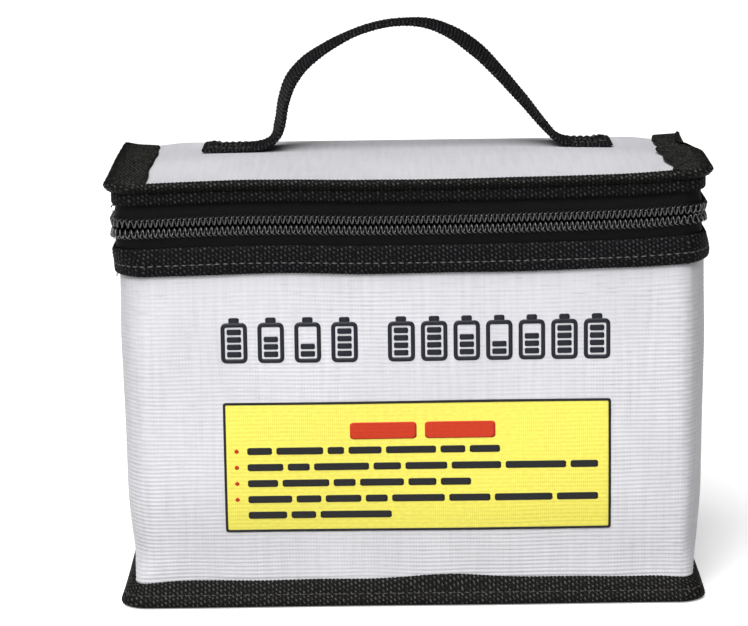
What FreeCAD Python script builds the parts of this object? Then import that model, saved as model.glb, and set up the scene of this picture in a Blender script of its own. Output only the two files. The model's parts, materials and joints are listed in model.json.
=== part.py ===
"""Fire-resistant battery bag: a box-shaped bag of coated glass cloth with a hinged, zipped lid.

Millimetres, +Z up, front face towards -Y. The origin is the centre of the base, on the surface it
stands on. Wall layers are described by u, the distance outwards from the wall's outer face, and z.
"""

import FreeCAD, Part
import math
import os

from FreeCAD import Vector

# Walls
HALF_X = 105.0  # the wall's outer face
HALF_Y = 55.0
CORNER = 11.0  # radius of the upright folds
SEAM_Y = HALF_Y - CORNER  # where the front cloth, which wraps both ends, meets the back cloth
CLOTH = 1.6
LINING = 1.0
PINCH = 3.5  # how far the walls pull in at the foot
PINCH_Z = 26.0  # where they start to pull in
FOOT_Z = 9.5  # top of the base binding
SKIRT_OUT = 2.5  # how far the base binding stands out
BASE_Z = 0.8  # underside of the base cloth
BASE_REACH = -1.6  # its edge, inside the binding's fold
BASE_TUCK = -9.0  # inner edge of the base binding's underside
SKIRT_EDGE = 1.4  # height of the base binding's blunt outer edge
SKIRT_TOP = -1.4  # u of its upper edge
WALL_TOP = 134.5

# Zip
SPLIT = 141.0  # height of the zip's centre line and of the lid's fold
SPLIT_GAP = 0.8  # from the centre line to each row of teeth
COIL_H = 2.7
COIL_U = (0.8, 2.6)
TAPE = 0.8
ZIP_END_Y = 34.0  # where the back bindings cover the zip
WEB = 1.5  # thickness of the webbing
LOWER_WEB = (123.5, 133.5)
UPPER_WEB = (149.5, 153.6)
LAP = WALL_TOP - 4.0  # height where the tape goes behind the lower webbing

# Lid
LID_Z = 152.6  # underside of the lid's cloth
LID_TOP = LID_Z + CLOTH
FOLD_GAP = 0.25
RIM_IN = -9.5  # inner edge of the rim's binding, on the lid's top
RIM_LIP = [(4.4, 155.0), (4.8, 156.2), (4.2, 157.2)]  # (u, z) round its standing outer edge

# Handle
HINGE_Z = LID_TOP + 11.0  # the strap flops about this height
STRAP_Y = 30.0  # the strap stands nearer the lid's hinge than its zip
STRAP_W = 20.0
STRAP_T = 1.6
STRAP_GAP = 0.3
STRAP_PATH = [(-56.0, 1.0), (-51.0, 7.0), (-45.5, 21.0), (-37.0, 34.5), (-26.0, 44.0),
              (-13.0, 49.6), (0.0, 51.4)]  # (x, height above the lid) of its middle line
TAB_IN = 56.5  # inner and outer end of the sewn tab
TAB_OUT = 77.5
THREAD = 0.7  # width of a row of stitches
THREAD_T = 0.3
SEWN_EDGE = 2.0  # from the tab's edges to the rows

# Sliders and pulls, measured along the zip from the slider's middle, nose positive
SLIDER_Y = 5.6
SLIDER_HALF = 4.9
NOSE_HALF_H = 3.8
TAIL_HALF_H = 2.6
PLATE_U = (2.9, 3.8)
INNER_U = (-1.4, -0.3)
LEG_S = (-2.6, 3.0)  # tail leg and nose leg of the crown
LEG_R = 0.7
CROWN_U = (5.4, 6.2)
PULL_U = (4.05, 5.15)
PULL_TOP_W = 5.3
PULL_LOW_W = 7.0
PULL_LEN = 27.0
PULL_ABOVE = 1.9  # the loop's top above the crown's leg
PULL_RIM = 0.8  # metal left beside the loop
PLATE_TOP = 8.2  # where the pull's plain plate starts, below its top
WINDOW = (20.0, 25.9)  # the lower window's top and bottom, below the pull's top

# Label and print on the front
LABEL_X = (-68.0, 72.4)
LABEL_Z = (28.2, 77.0)
LABEL_U = (0.0, 0.4)
LABEL_EDGE = 0.9
PRINT_T = 0.15
HEADING_DROP = (14.0, 7.8)  # the heading's bottom and top, below the label's top
HEADING_START = -22.1
HEADING_WIDTHS = (24.0, 25.6)
HEADING_GAP = 3.0
LINES_DROP = 16.8
LINES_START = -59.5
BULLET_X = -63.4
BULLET_R = 0.8
BULLETS = 4  # the last line runs on from the one above it
WORD_GAP = 1.6
LINE_PITCH = 6.05
LINE_H = 2.6
WORD_LINES = [(9, 17, 6, 12, 18, 9, 11), (13, 8, 20, 10, 15, 18, 22, 10), (11, 17, 8, 16, 10, 11),
              (16, 9, 13, 8, 19, 15, 21, 15), (14, 9, 26)]
SYMBOL_Z = (91.6, 108.0)
SYMBOL_W = 9.6
SYMBOL_EDGE = 1.5
SYMBOL_NUB = 1.8  # height of the terminal
BAR_GAP = 0.7
SYMBOL_GROUPS = [(-68.2, 13.3, (4, 3, 2, 4)), (-7.9, 11.75, (4, 4, 3, 2, 3, 4, 4))]  # start, pitch, charge

os.makedirs("parts", exist_ok=True)


def save(node, shape):
    """Writes one node and says how many solids it holds."""
    shape.exportStep(f"parts/{node}.step")
    print(f"{node}: {len(shape.Solids)} solid(s), {shape.Volume / 1000:.2f} cm3, valid {shape.isValid()}")


def fuse(shapes):
    """Joins touching shapes into one clean solid."""
    whole = shapes[0] if len(shapes) == 1 else shapes[0].fuse(shapes[1:])
    return whole.removeSplitter()


def box(x, y, z):
    """A box from three (low, high) pairs."""
    size = [b - a for a, b in (x, y, z)]
    return Part.makeBox(*size, Vector(x[0], y[0], z[0]))


def run_face(section, start, outward):
    """The (u, z) section as a face at start, with u along outward."""
    points = [Vector(start[0] + outward[0] * u, start[1] + outward[1] * u, z) for u, z in section]
    return Part.Face(Part.makePolygon(points + points[:1]))


def straight(section, start, end, outward):
    """The section carried along one straight wall."""
    along = Vector(end[0] - start[0], end[1] - start[1], 0)
    return run_face(section, start, outward).extrude(along)


def corner(section, side_x, side_y):
    """The section turned a quarter round one upright fold."""
    centre = (side_x * (HALF_X - CORNER), side_y * (HALF_Y - CORNER))
    start = (centre[0] + side_x * CORNER, centre[1])
    turn = 90 if side_x * side_y > 0 else -90
    face = run_face(section, start, (side_x, 0))
    return face.revolve(Vector(centre[0], centre[1], 0), Vector(0, 0, 1), turn)


def front_band(section, end_y):
    """A layer along the front and both ends, as far back as end_y."""
    flat_x = HALF_X - CORNER
    pieces = [straight(section, (-flat_x, -HALF_Y), (flat_x, -HALF_Y), (0, -1))]
    for side in (-1, 1):
        pieces.append(corner(section, side, -1))
        pieces.append(straight(section, (side * HALF_X, -SEAM_Y), (side * HALF_X, end_y), (side, 0)))
    return fuse(pieces)


def back_band(section):
    """A layer along the back and round both rear corners, from seam to seam."""
    flat_x = HALF_X - CORNER
    pieces = [straight(section, (-flat_x, HALF_Y), (flat_x, HALF_Y), (0, 1))]
    pieces += [corner(section, side, 1) for side in (-1, 1)]
    return fuse(pieces)


def full_band(section):
    """A layer all the way round."""
    return fuse([front_band(section, SEAM_Y), back_band(section)])


def plate(reach, z):
    """A level sheet that ends reach outside the wall's outer face, with rounded corners."""
    half_x, half_y = HALF_X + reach, HALF_Y + reach
    sheet = box((-half_x, half_x), (-half_y, half_y), z)
    upright = [e for e in sheet.Edges if abs(e.tangentAt(e.FirstParameter).z) > 0.9]
    return sheet.makeFillet(CORNER + reach, upright)


def pinched(outer, inner, bottom, top):
    """The section of a wall layer that pulls in towards the foot."""
    return [(outer - PINCH, bottom), (outer - PINCH, FOOT_Z), (outer, PINCH_Z), (outer, top),
            (inner, top), (inner, PINCH_Z), (inner - PINCH, FOOT_Z), (inner - PINCH, bottom)]


def bag_body():
    """The cloth and lining below the zip."""
    base_z = (BASE_Z, BASE_Z + CLOTH)
    save("wrap_panel", front_band(pinched(0.0, -CLOTH, base_z[1], WALL_TOP), SEAM_Y))
    save("back_panel", back_band(pinched(0.0, -CLOTH, base_z[1], SPLIT - FOLD_GAP)))
    save("base_panel", plate(BASE_REACH, base_z))
    lining = pinched(-CLOTH, -CLOTH - LINING, base_z[1], WALL_TOP)
    save("body_lining", full_band(lining))
    save("base_lining", plate(-PINCH - CLOTH - LINING, (base_z[1], base_z[1] + LINING)))


def base_binding():
    """The folded tape round the foot, standing out like a low skirt."""
    over, under = BASE_Z + CLOTH, BASE_Z
    section = [(BASE_TUCK, 0.0), (SKIRT_OUT, 0.0), (SKIRT_OUT, SKIRT_EDGE), (SKIRT_TOP, FOOT_Z),
               (-PINCH, FOOT_Z), (-PINCH, over), (BASE_REACH, over), (BASE_REACH, under),
               (BASE_TUCK, under)]
    save("base_binding", full_band(section))


def back_bindings():
    """Upright tapes on the ends' rear edges, over the seam and the zip's ends, cut at the fold."""
    for side, name in ((-1, "left"), (1, "right")):
        strip = [(side * HALF_X, ZIP_END_Y), (side * HALF_X, SEAM_Y)]
        low = [(-PINCH, FOOT_Z), (-PINCH + WEB, FOOT_Z), (WEB, PINCH_Z), (WEB, SPLIT - FOLD_GAP),
               (0.0, SPLIT - FOLD_GAP), (0.0, PINCH_Z)]
        high = [(0.0, SPLIT + FOLD_GAP), (WEB, SPLIT + FOLD_GAP), (WEB, UPPER_WEB[1]), (TAPE, UPPER_WEB[1]),
                (TAPE, LID_Z), (0.0, LID_Z)]
        save(f"back_binding_{name}", straight(low, *strip, (side, 0)))
        save(f"lid_binding_{name}", straight(high, *strip, (side, 0)))


def zip_chain():
    """Webbing, tape and teeth below and above the zip's centre line."""
    low_teeth, high_teeth = SPLIT - SPLIT_GAP, SPLIT + SPLIT_GAP
    low_web, high_web = LOWER_WEB, UPPER_WEB
    out = TAPE + WEB
    webbing = [(0.0, low_web[0]), (WEB, low_web[0]), (out, LAP), (out, low_web[1]), (TAPE, low_web[1]),
               (TAPE, LAP), (0.0, LAP)]
    save("lower_webbing", front_band(webbing, ZIP_END_Y))
    save("lower_tape", front_band([(0.0, LAP), (TAPE, LAP), (TAPE, low_teeth), (0.0, low_teeth)], ZIP_END_Y))
    save("upper_tape", front_band([(0.0, high_teeth), (TAPE, high_teeth), (TAPE, LID_Z), (0.0, LID_Z)],
                                  ZIP_END_Y))
    save("upper_webbing", front_band([(TAPE, high_web[0]), (out, high_web[0]), (out, high_web[1]),
                                      (TAPE, high_web[1])], ZIP_END_Y))
    for name, base in (("lower_coil", low_teeth - COIL_H), ("upper_coil", high_teeth)):
        inner, outer = COIL_U
        ring = [(inner, base), (outer, base), (outer, base + COIL_H), (inner, base + COIL_H)]
        save(name, front_band(ring, ZIP_END_Y))


def lid():
    """The lid's cloth, which carries on over the back edge as the hinge, its lining and its rim."""
    drop = [(0.0, SPLIT + FOLD_GAP), (0.0, LID_TOP), (-CLOTH, LID_TOP), (-CLOTH, SPLIT + FOLD_GAP)]
    top = plate(0.0, (LID_Z, LID_TOP))
    edge = front_band([(0.0, LID_Z), (TAPE, LID_Z), (TAPE, LID_TOP), (0.0, LID_TOP)], SEAM_Y)
    save("lid_panel", fuse([top, edge, back_band(drop)]))
    save("lid_lining", plate(-CLOTH, (LID_Z - LINING, LID_Z)))
    web_out, web_top = TAPE + WEB, UPPER_WEB[1]
    rim = [(RIM_IN, LID_TOP), (TAPE, LID_TOP), (TAPE, web_top), (web_out, web_top), *RIM_LIP,
           (RIM_IN, LID_TOP + WEB)]
    save("lid_rim_binding", front_band(rim, SEAM_Y))


def bent_strip(points, y):
    """A strip of strap whose middle line is a smooth curve through (x, z) points."""
    curve = Part.BSplineCurve()
    curve.interpolate([Vector(x, 0, z) for x, z in points])
    steps = 12 * (len(points) - 1)
    low, high = curve.FirstParameter, curve.LastParameter
    sides = [[], []]
    for i in range(steps + 1):
        at = low + (high - low) * i / steps
        point, tangent = curve.value(at), curve.tangent(at)[0]
        normal = Vector(-tangent.z, 0, tangent.x) * (STRAP_T / 2)
        sides[0].append(point + normal)
        sides[1].append(point - normal)
    edges = []
    for side in sides:
        line = Part.BSplineCurve()
        line.interpolate(side)
        edges.append(line.toShape())
    ends = [Part.makeLine(sides[0][i], sides[1][i]) for i in (0, -1)]
    face = Part.Face(Part.Wire(Part.__sortEdges__([edges[0], ends[1], edges[1], ends[0]])))
    face.translate(Vector(0, y[0], 0))
    return face.extrude(Vector(0, y[1] - y[0], 0))


def handle():
    """The strap, cut level where it flops, its bending roots and the tabs sewn to the lid."""
    path = [(x, LID_TOP + z) for x, z in STRAP_PATH]
    path += [(-x, z) for x, z in reversed(path[:-1])]
    across = (STRAP_Y - STRAP_W / 2, STRAP_Y + STRAP_W / 2)
    whole = bent_strip(path, across)
    apex = max(z for x, z in path) + STRAP_T
    save("handle_strap", whole.common(box((-TAB_OUT, TAB_OUT), across, (HINGE_Z, apex))))
    for side, name in ((-1, "left"), (1, "right")):
        root = box(sorted((0.0, side * TAB_IN)), across, (LID_TOP, HINGE_Z - STRAP_GAP))
        save(f"handle_root_{name}", whole.common(root))
        tab = box(sorted((side * TAB_IN, side * TAB_OUT)), across, (LID_TOP, LID_TOP + STRAP_T))
        save(f"handle_tab_{name}", tab)
        save(f"handle_stitching_{name}", stitching(side))


def stitching(side):
    """The sewn box and cross that hold one tab down."""
    near, far = TAB_IN + SEWN_EDGE, TAB_OUT - SEWN_EDGE
    low, high = STRAP_Y - STRAP_W / 2 + SEWN_EDGE, STRAP_Y + STRAP_W / 2 - SEWN_EDGE
    half = THREAD / 2
    level = (LID_TOP + STRAP_T, LID_TOP + STRAP_T + THREAD_T)
    rows = [box(sorted((side * near, side * far)), (y - half, y + half), level) for y in (low, high)]
    rows += [box((side * x - half, side * x + half), (low, high), level) for x in (near, far)]
    length = math.hypot(far - near, high - low)
    angle = math.degrees(math.atan2(high - low, far - near))
    for turn in (-angle, angle):
        cross = box((-length / 2, length / 2), (-half, half), level)
        cross.rotate(Vector(0, 0, 0), Vector(0, 0, 1), turn)
        cross.translate(Vector(side * (near + far) / 2, STRAP_Y, 0))
        rows.append(cross)
    return fuse(rows)


def zip_frame(shape, nose):
    """Places a shape drawn as (outwards, along the zip, up) on the left end of the zip.

    nose is +1 where the slider's nose points to +Y and -1 where it points to -Y.
    """
    if nose < 0:
        shape = shape.mirror(Vector(0, 0, 0), Vector(0, 1, 0))
    shape = shape.mirror(Vector(0, 0, 0), Vector(1, 0, 0))
    shape.translate(Vector(-HALF_X, -nose * SLIDER_Y, SPLIT))
    return shape


def slider_plate(u, scale):
    """One leaf of a slider: a rounded nose that narrows to a square tail."""
    nose, tail = NOSE_HALF_H * scale, TAIL_HALF_H * scale
    top = [Vector(u[0], -SLIDER_HALF, tail), Vector(u[0], -3.0, tail + 0.1), Vector(u[0], 0.0, nose),
           Vector(u[0], 3.6, 2.3 * scale), Vector(u[0], SLIDER_HALF, 0.0)]
    bottom = [Vector(p.x, p.y, -p.z) for p in reversed(top)]
    edges = []
    for points in (top, bottom):
        line = Part.BSplineCurve()
        line.interpolate(points)
        edges.append(line.toShape())
    edges.append(Part.makeLine(bottom[-1], top[0]))
    return Part.Face(Part.Wire(Part.__sortEdges__(edges))).extrude(Vector(u[1] - u[0], 0, 0))


def slider(nose):
    """Outer and inner leaf, the post between the two rows of teeth and the flange below them."""
    outer = slider_plate(PLATE_U, 1.0)
    inner = slider_plate(INNER_U, 0.95)
    post = box((INNER_U[1], PLATE_U[0]), (-0.4, 3.2), (-0.5, 0.5))
    flange = box((1.2, PLATE_U[0]), (-SLIDER_HALF + 0.3, 0.6), (-4.55, -3.8))
    link = box(PLATE_U, (-SLIDER_HALF + 0.3, 0.6), (-4.55, -2.4))
    return zip_frame(fuse([outer, inner, post, flange, link]), nose)


def crown(nose):
    """The bridge that carries the pull: two round legs under a bar along the zip."""
    bar = box(CROWN_U, (LEG_S[0] - LEG_R, LEG_S[1] + LEG_R), (-LEG_R, LEG_R))
    long_edges = [e for e in bar.Edges if e.Length > 5 and e.BoundBox.XMin > CROWN_U[0] + 0.1]
    bar = bar.makeFillet(0.35, long_edges)
    legs = [Part.makeCylinder(LEG_R, CROWN_U[0] - PLATE_U[1], Vector(PLATE_U[1], s, 0), Vector(1, 0, 0))
            for s in LEG_S]
    return zip_frame(fuse([bar] + legs), nose)


def tapered_window(low, high, width_low, width_high, radius):
    """A rounded, tapered cut through the pull, between two heights measured down from its top."""
    points = [Vector(PULL_U[0] - 1, -width_high / 2, -high), Vector(PULL_U[0] - 1, width_high / 2, -high),
              Vector(PULL_U[0] - 1, width_low / 2, -low), Vector(PULL_U[0] - 1, -width_low / 2, -low)]
    cut = Part.Face(Part.makePolygon(points + points[:1])).extrude(Vector(4, 0, 0))
    return cut.makeFillet(radius, [e for e in cut.Edges if e.Length > 3.9 and e.BoundBox.XLength > 3.9])


def pull(nose):
    """The pull: a round-topped loop on the tail leg, a plain plate and a window near its end."""
    outline = [(PULL_TOP_W / 2, -PULL_TOP_W / 2), (PULL_LOW_W / 2, -PULL_LEN)]
    points = [Vector(PULL_U[0], side * w, z) for side, (w, z) in
              [(1, outline[0]), (1, outline[1]), (-1, outline[1]), (-1, outline[0])]]
    body = Part.Face(Part.makePolygon(points + points[:1])).extrude(Vector(PULL_U[1] - PULL_U[0], 0, 0))
    low_edges = [e for e in body.Edges if e.BoundBox.XLength > 1 and e.BoundBox.ZMax < -PULL_LEN + 1]
    body = body.makeFillet(0.6, low_edges)
    head = Part.makeCylinder(PULL_TOP_W / 2, PULL_U[1] - PULL_U[0],
                             Vector(PULL_U[0], 0, -PULL_TOP_W / 2), Vector(1, 0, 0))
    loop_r = PULL_TOP_W / 2 - PULL_RIM
    loop = Part.makeCylinder(loop_r, 4, Vector(PULL_U[0] - 1, 0, -PULL_TOP_W / 2), Vector(1, 0, 0))
    whole = fuse([body, head])
    whole = whole.cut(loop)
    whole = whole.cut(tapered_window(PULL_TOP_W / 2, PLATE_TOP, 2 * loop_r, 2 * loop_r + 0.2, 0.1))
    whole = whole.cut(tapered_window(*WINDOW, 5.0, 5.3, 0.5))
    whole.translate(Vector(0, LEG_S[0], PULL_ABOVE))
    return zip_frame(whole, nose)


def zip_hardware():
    """Two sliders nose to nose on the left end, so that the lid opens away from the middle."""
    for name, nose in (("front", 1), ("rear", -1)):
        save(f"{name}_slider", slider(nose))
        save(f"{name}_crown", crown(nose))
        save(f"{name}_pull", pull(nose))


def front_plate(x, z, u):
    """A thin flat rectangle standing on the front wall."""
    return box(x, (-HALF_Y - u[1], -HALF_Y - u[0]), z)


def word_bars(start, widths, z, gap):
    """A row of plain bars that stands for a line of words."""
    bars = []
    x = start
    for width in widths:
        bars.append(front_plate((x, x + width), z, (LABEL_U[1], LABEL_U[1] + PRINT_T)))
        x += width + gap
    return bars


def label():
    """The sewn label: border, ground, a heading bar and greeked lines, each with a round bullet."""
    outer = front_plate(LABEL_X, LABEL_Z, LABEL_U)
    inside_x = (LABEL_X[0] + LABEL_EDGE, LABEL_X[1] - LABEL_EDGE)
    inside_z = (LABEL_Z[0] + LABEL_EDGE, LABEL_Z[1] - LABEL_EDGE)
    ground = front_plate(inside_x, inside_z, LABEL_U)
    save("label_border", outer.cut(ground))
    save("label_patch", ground)
    heading_z = [LABEL_Z[1] - drop for drop in HEADING_DROP]
    heading = word_bars(HEADING_START, HEADING_WIDTHS, heading_z, HEADING_GAP)
    words = []
    bullets = []
    for row, widths in enumerate(WORD_LINES):
        top = LABEL_Z[1] - LINES_DROP - row * LINE_PITCH
        words += word_bars(LINES_START, widths, (top - LINE_H, top), WORD_GAP)
        if row < BULLETS:
            middle = Vector(BULLET_X, -HALF_Y - LABEL_U[1] - PRINT_T, top - LINE_H / 2)
            bullets.append(Part.makeCylinder(BULLET_R, PRINT_T, middle, Vector(0, 1, 0)))
    save("label_heading", Part.makeCompound(heading + bullets))
    save("label_lines", Part.makeCompound(words))


def symbol(x, bars):
    """An upright battery-cell sign: a can with a terminal and its charge shown as level bars."""
    low, high = SYMBOL_Z
    u = (0.0, PRINT_T)
    edge, top = SYMBOL_EDGE, high - SYMBOL_NUB
    can = front_plate((x, x + SYMBOL_W), (low, top), u)
    can = can.cut(front_plate((x + edge, x + SYMBOL_W - edge), (low + edge, top - edge), u))
    nub = front_plate((x + SYMBOL_W * 0.3, x + SYMBOL_W * 0.7), (top, high), u)
    pieces = [can.fuse(nub).removeSplitter()]
    room = (top - low - 2 * edge - BAR_GAP) / 4
    inset = edge + BAR_GAP
    for i in range(bars):
        z = low + edge + i * room + BAR_GAP
        pieces.append(front_plate((x + inset, x + SYMBOL_W - inset), (z, z + room - BAR_GAP), u))
    return pieces


def front_symbols():
    """Two groups of battery-cell signs printed above the label."""
    pieces = []
    for start, pitch, charges in SYMBOL_GROUPS:
        for i, bars in enumerate(charges):
            pieces += symbol(start + i * pitch, bars)
    save("front_symbols", Part.makeCompound(pieces))


bag_body()
base_binding()
back_bindings()
zip_chain()
lid()
handle()
zip_hardware()
label()
front_symbols()
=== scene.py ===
"""Looks of the battery bag: coated cloth, woven bindings, zip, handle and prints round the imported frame.

Sizes in this script are millimetres until a mesh is made, which is in metres. A place on the walls is
(s, u, z): s runs round the bag from the middle of the front, u is the distance outside the wall's face.
"""

import json
import math

import bpy
import numpy as np
from mathutils import Matrix, Vector


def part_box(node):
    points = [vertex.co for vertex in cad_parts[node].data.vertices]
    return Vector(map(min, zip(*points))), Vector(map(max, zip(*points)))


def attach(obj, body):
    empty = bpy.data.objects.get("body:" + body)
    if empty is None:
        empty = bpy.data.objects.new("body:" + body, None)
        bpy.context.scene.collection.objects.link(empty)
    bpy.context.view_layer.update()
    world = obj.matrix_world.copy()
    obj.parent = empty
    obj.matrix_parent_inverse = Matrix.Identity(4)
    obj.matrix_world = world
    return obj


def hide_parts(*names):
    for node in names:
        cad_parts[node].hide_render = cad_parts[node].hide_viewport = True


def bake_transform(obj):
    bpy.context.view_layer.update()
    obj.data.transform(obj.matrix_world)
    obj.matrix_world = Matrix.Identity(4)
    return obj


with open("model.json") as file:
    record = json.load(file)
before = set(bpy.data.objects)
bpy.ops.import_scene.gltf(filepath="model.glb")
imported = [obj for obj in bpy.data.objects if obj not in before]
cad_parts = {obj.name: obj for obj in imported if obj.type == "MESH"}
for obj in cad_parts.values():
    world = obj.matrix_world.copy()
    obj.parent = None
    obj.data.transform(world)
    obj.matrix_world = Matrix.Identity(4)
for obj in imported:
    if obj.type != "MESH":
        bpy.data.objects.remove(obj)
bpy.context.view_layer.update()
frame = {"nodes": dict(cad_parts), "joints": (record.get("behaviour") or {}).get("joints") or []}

MM = 0.001


def extent(node):
    """Lowest and highest corner of a CAD node in millimetres."""
    low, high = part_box(node)
    return np.array(low) / MM, np.array(high) / MM


def joint_place(name):
    """A hinge's position in millimetres."""
    found = next(j for j in frame["joints"] if j["name"] == name)
    return np.array(found["pos_m"]) / MM


# Bag, read from the frame
HALF_X = extent("wrap_panel")[1][0]
HALF_Y = -extent("wrap_panel")[0][1]
WALL_TOP = extent("wrap_panel")[1][2]
CLOTH_LOW = extent("wrap_panel")[0][2]
FOOT_Z = extent("base_binding")[1][2]
SPLIT = joint_place("lid_hinge")[2]
SEAM_Y = extent("wrap_panel")[1][1]
ZIP_END_Y = extent("lower_coil")[1][1]
LID_TOP = extent("lid_lining")[1][2] + 1.6
LOWER_WEB = (extent("lower_webbing")[0][2], extent("lower_webbing")[1][2])
UPPER_WEB = (extent("upper_webbing")[0][2], extent("upper_webbing")[1][2])
CORNER = 7.5  # radius of the upright corners above the zip and at the back
END_Y = HALF_Y - CORNER  # the ends are straight to here

# Cloth
CLOTH = 1.2
LINING = 0.8
RIB = 1.5  # pitch of the cloth's level ribs
RIB_HEIGHT = 0.07
LINING_LOW = 3.2  # foot of the walls' lining
PINCH = 2.4  # how far the walls pull in towards the foot
PINCH_TOP = 62.0
FULLNESS = 1.1  # how far they stand out half-way up
FRONT_FOLD = 2.2  # radius of the creased folds at the front
LEFT_END = (95.0, 0.8)  # where the front ends, and how far the end's middle bulges
RIGHT_END = (98.6, 2.1)
SLOPE_RUN = 17.0  # from the front fold to where the end is at its widest
FOLD_S = 98.5  # the front folds, measured round the wall
ROLL_R = 3.0  # the roll where the back cloth turns over into the lid

# Rise of the zip line above its straight CAD line: (x, mm)
RISE = [(-105, 0.0), (-88, 0.5), (-62, 1.2), (-42, 1.2), (-18, 0.6), (12, 0.6), (35, 0.85), (60, 1.25),
        (84, 1.8), (96, 2.7), (105, 3.3)]
CROWN = 2.9  # how far the lid's rear half swells above its front edge

# Woven tapes
WALE = 1.45  # pitch of the ribs across a tape
WEB = 1.5
TAPE = 0.8
LAP = WALL_TOP - 4.0  # the zip's lower tape and its webbing reach down to here

# Zip
TEETH = 1.9  # pitch of the coil
COIL_R = 0.36
COIL_OUT = 1.7  # u of the coil's middle
COIL_DEPTH = 0.62
COIL_RISE = 1.45  # half height of a loop
COIL_OFF = 1.72  # from the zip's centre line to the middle of each coil
STITCH_ALONG = np.array([-0.95, -0.4, 0.2, 0.8])  # each slanting stitch over the coil's foot
STITCH_UP = np.array([-0.45, -0.1, 0.35, 0.8])
STITCH_OUT = np.array([0.85, 1.0, 0.8, 0.1])

# Handle's middle line in its own plane: (x, z), feet given by the lid
STRAP_W = 20.0
STRAP_T = 1.6
STRAP_Y = joint_place("handle_flop")[1]
TAB_OUT = extent("handle_tab_right")[1][0]
STRAP_LINE = [(-55.5, 158.9), (-50.9, 161.6), (-48.5, 167.5), (-46.9, 176.2), (-43.0, 185.3), (-34.3, 193.6),
              (-19.0, 201.8), (-3.6, 205.4), (11.7, 203.9), (26.8, 194.7), (42.0, 178.4), (53.0, 165.0),
              (58.0, 160.2)]
# How far the strap's rear edge leans outwards from its front edge: (x, mm)
STRAP_LEAN = [(-60, 0.0), (-52, 2.5), (-46, 3.8), (-34, 1.6), (-20, -0.2), (0, -0.5), (12, 1.3), (26, 3.4),
              (45, 1.9), (60, 0.0)]

# Label and prints
LABEL_LOW, LABEL_HIGH = extent("label_border")
LABEL_EDGE = 0.9
LABEL_CORNER = 0.9
PRINT_OUT = 0.14
LINE_PITCH = 6.05
LINE_H = 2.6
WORD_LINES = [(9, 17, 6, 12, 18, 9, 11), (13, 8, 20, 10, 15, 18, 22, 10), (11, 17, 8, 16, 10, 11),
              (16, 9, 13, 8, 19, 15, 21, 15), (14, 9, 26)]
LINES_START = -59.5
WORD_GAP = 1.6
WORD_CORNER = 0.7
HEADING_START = -22.1
BULLET_X = -63.4
BULLET_R = 0.8
BULLET_LINES = 4  # the first lines have one each
HEADING_DROP = (14.0, 7.8)  # below the label's top
HEADING_WIDTHS = (24.0, 25.6)
HEADING_GAP = 3.0
HEADING_CORNER = 1.2
LINES_DROP = 16.8
SYMBOL_EDGE = 1.5
SYMBOL_NUB = 1.8  # height of the terminal
BAR_GAP = 0.7
SYMBOL_LOW, SYMBOL_HIGH = extent("front_symbols")
SYMBOL_W = 9.6
SYMBOL_GROUPS = [(-68.2, 13.3, (4, 3, 2, 4)), (-7.9, 11.75, (4, 4, 3, 2, 3, 4, 4))]  # start, pitch, charge

# Studio
OVERHEAD = 2.9
FRONT_BOX = 20.5
SURROUND = (0.32, 0.6)  # brightness behind and in front of the bag
FLOOR_GLOW = 0.35

# Distances round the wall, from the middle of the front
FLAT = HALF_X - CORNER
ARC = CORNER * math.pi / 2
S_END = FLAT + ARC
S_SEAM = S_END + 2 * END_Y
S_BACK = S_SEAM + ARC
S_HALF = S_BACK + FLAT
S_ZIP = S_END + END_Y + ZIP_END_Y
S_RIM = S_END + END_Y + SEAM_Y


# ---------------------------------------------------------------- shape of the soft bag


def smooth(t):
    """0 below 0, 1 above 1, and an even turn between."""
    t = np.clip(t, 0.0, 1.0)
    return t * t * (3 - 2 * t)


def bell(t):
    """1 at 0, falling away evenly on both sides."""
    return np.exp(-t ** 2)


def together(*columns):
    """Arrays, stretched to one shape, as the columns of one array."""
    return np.stack(np.broadcast_arrays(*columns), -1)


def wrapped(s):
    """The same place round the bag, between half-way round to the left and to the right."""
    return (s + S_HALF) % (2 * S_HALF) - S_HALF


def line_through(knots, window=24.0):
    """A soft curve near (x, value) knots, as a function of x."""
    xs = np.arange(-130.0, 130.5, 0.5)
    rough = np.interp(xs, [k[0] for k in knots], [k[1] for k in knots])
    kernel = np.hanning(int(window * 2) + 3)
    soft = np.convolve(np.pad(rough, len(kernel) // 2, mode="edge"), kernel / kernel.sum(), mode="valid")
    return lambda x: np.interp(x, xs, soft)


rise = line_through(RISE)
strap_lean = line_through(STRAP_LEAN, 10.0)


def wall_frame(s):
    """Point on the wall's face and its outward normal at distance s round the bag."""
    s = wrapped(s)
    a = np.abs(s)
    turn = np.clip((a - FLAT) / CORNER, 0, math.pi / 2) + np.clip((a - S_SEAM) / CORNER, 0, math.pi / 2)
    centre_x = np.minimum(a, FLAT) - np.clip(a - S_BACK, 0, None)
    centre_y = -END_Y + np.clip(a - S_END, 0, 2 * END_Y)
    side = np.where(s < 0, -1.0, 1.0)
    out_x, out_y = side * np.sin(turn), -np.cos(turn)
    return side * centre_x + CORNER * out_x, centre_y + CORNER * out_y, out_x, out_y


def lift(x, y, z):
    """How far soft cloth at this place stands above its CAD height."""
    zip_line = rise(x) * (1 - smooth((y + 40) / 95)) * smooth((z - 100) / 24)
    swell = CROWN * smooth((y + 45) / 60) * (1 - 0.5 * smooth((np.abs(x) - 85) / 18))
    return zip_line + swell * smooth((z - 146) / 8)


def lid_height(x, y):
    """Height of the lid's cloth."""
    waves = 0.4 * np.sin(x / 31 + 0.5) * np.sin(y / 27 + 0.8) + 0.25 * np.sin(x / 17 - y / 23)
    inside = smooth((HALF_X - 8 - np.abs(x)) / 12) * smooth((y + 48) / 12)
    return LID_TOP + lift(x, y, LID_TOP) + waves * inside


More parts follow.
